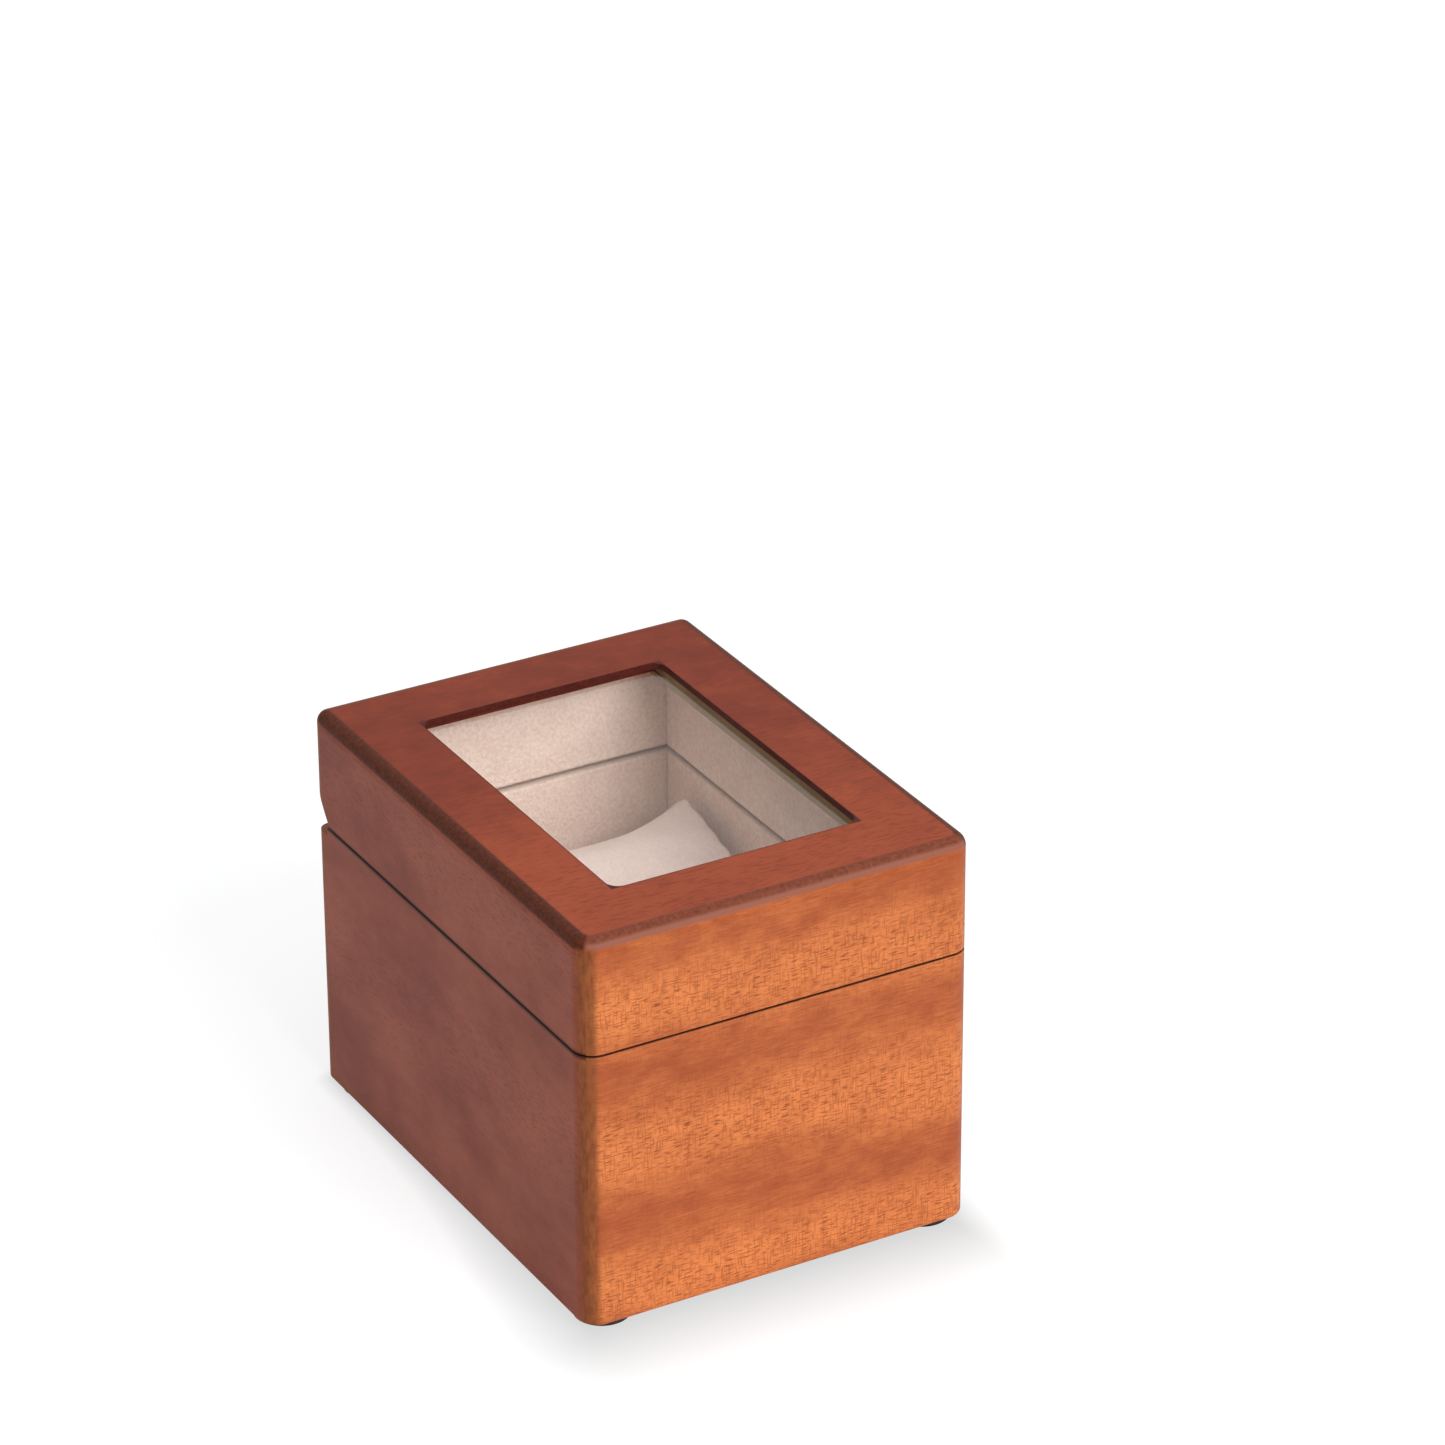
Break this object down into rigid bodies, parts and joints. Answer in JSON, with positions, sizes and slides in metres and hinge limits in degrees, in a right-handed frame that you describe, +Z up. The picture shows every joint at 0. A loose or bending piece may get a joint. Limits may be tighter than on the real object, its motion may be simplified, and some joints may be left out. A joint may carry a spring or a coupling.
{
  "type": "watch winder box",
  "caption": "Wooden watch winder box with a hinged window lid, suede-lined wells and belt-driven turning cradles that carry watch pillows.",
  "frame": {"origin": "on the floor, under the middle of the box", "axes": "+Z up, +Y towards the hinged back, +X to the right seen from the front"},
  "size_m": [0.12, 0.158, 0.12],
  "materials": {
    "stained_wood": "stained veneer, satin lacquer",
    "plain_board": "bare board",
    "suede_lining": "cream suede nap",
    "pillow_suede": "pinkish cream suede",
    "dark_felt": "pressed felt",
    "window_glass": "clear float glass",
    "olive_strip": "olive brown painted strip",
    "hinge_brass": "satin brass",
    "steel": "bright steel",
    "gearbox_brass": "plain brass",
    "nylon": "natural nylon",
    "black_plastic": "moulded, fine texture",
    "gloss_black": "moulded, polished",
    "belt_rubber": "matt rubber",
    "circuit_green": "solder mask",
    "lens_green": "clear tinted lens"
  },
  "bodies": {
    "base": {"base_back_wall": "stained_wood", "base_bottom_board": "plain_board", "base_front_wall": "stained_wood", "base_left_wall": "stained_wood", "base_lining_back": "suede_lining", "base_lining_front": "suede_lining", "base_lining_right": "suede_lining", "base_right_wall": "stained_wood", "board_components": "gloss_black", "board_standoffs": "nylon", "bracket_screws": "steel", "centre_divider": "suede_lining", "control_board": "circuit_green", "control_deck": "plain_board", "deck_lining": "suede_lining", "drive_belt": "belt_rubber", "drive_partition": "plain_board", "drive_partition_lining": "suede_lining", "felt_feet": "dark_felt", "floor_battens": "plain_board", "gear_motor": "steel", "hinge_base_leaves": "hinge_brass", "hinge_base_screws": "hinge_brass", "hinge_pins": "hinge_brass", "indicator_lens": "lens_green", "jack_nut": "steel", "mode_switch_body": "black_plastic", "motor_bracket": "steel", "motor_gearbox": "gearbox_brass", "pivot_bushes": "nylon", "power_jack": "gloss_black", "rocker_housing": "gloss_black", "shaft_bushes": "nylon", "well_floor_board": "plain_board", "well_floor_lining": "suede_lining"},
    "lid": {"glass_pane": "window_glass", "glass_retainers": "olive_strip", "hinge_lid_leaves": "hinge_brass", "hinge_lid_screws": "hinge_brass", "lid_back_wall": "stained_wood", "lid_front_wall": "stained_wood", "lid_left_wall": "stained_wood", "lid_lining_back": "suede_lining", "lid_lining_front": "suede_lining", "lid_lining_left": "suede_lining", "lid_lining_right": "suede_lining", "lid_right_wall": "stained_wood", "lid_top_frame": "stained_wood"},
    "rear_cradle": {"rear_cradle_yoke": "black_plastic", "rear_cradle_shaft": "steel", "rear_cradle_pulley": "nylon", "rear_pillow": "pillow_suede"},
    "front_cradle": {"front_cradle_yoke": "black_plastic", "front_cradle_shaft": "steel", "front_cradle_pulley": "nylon", "front_pillow": "pillow_suede"},
    "motor_output": {"motor_shaft": "steel", "motor_pulley": "nylon"},
    "knob": {"mode_knob": "gloss_black"},
    "rocker": {"power_rocker": "gloss_black"}
  },
  "joints": [
    {"name": "lid_hinge", "type": "hinge", "parent": "base", "child": "lid", "pos_m": [0, 0.0769, 0.0852], "axis": [-1, 0, 0], "range_deg": [0, 100]},
    {"name": "rear_cradle_spin", "type": "hinge", "parent": "base", "child": "rear_cradle", "pos_m": [0, 0.034, 0.0545], "axis": [1, 0, 0], "continuous": true},
    {"name": "front_cradle_spin", "type": "hinge", "parent": "base", "child": "front_cradle", "pos_m": [0, -0.034, 0.0545], "axis": [1, 0, 0], "continuous": true},
    {"name": "motor_spin", "type": "hinge", "parent": "base", "child": "motor_output", "pos_m": [0, 0, 0.0145], "axis": [1, 0, 0], "continuous": true},
    {"name": "knob_turn", "type": "hinge", "parent": "base", "child": "knob", "pos_m": [-0.0384, -0.022, 0.0819], "axis": [0, 0, 1], "range_deg": [0, 270]},
    {"name": "rocker_tip", "type": "hinge", "parent": "base", "child": "rocker", "pos_m": [-0.0384, 0, 0.079], "axis": [-1, 0, 0], "range_deg": [0, 16]}
  ],
  "couplings": [
    {"joint": "front_cradle_spin", "follows": "rear_cradle_spin", "ratio": 1},
    {"joint": "motor_spin", "follows": "rear_cradle_spin", "ratio": 2}
  ]
}
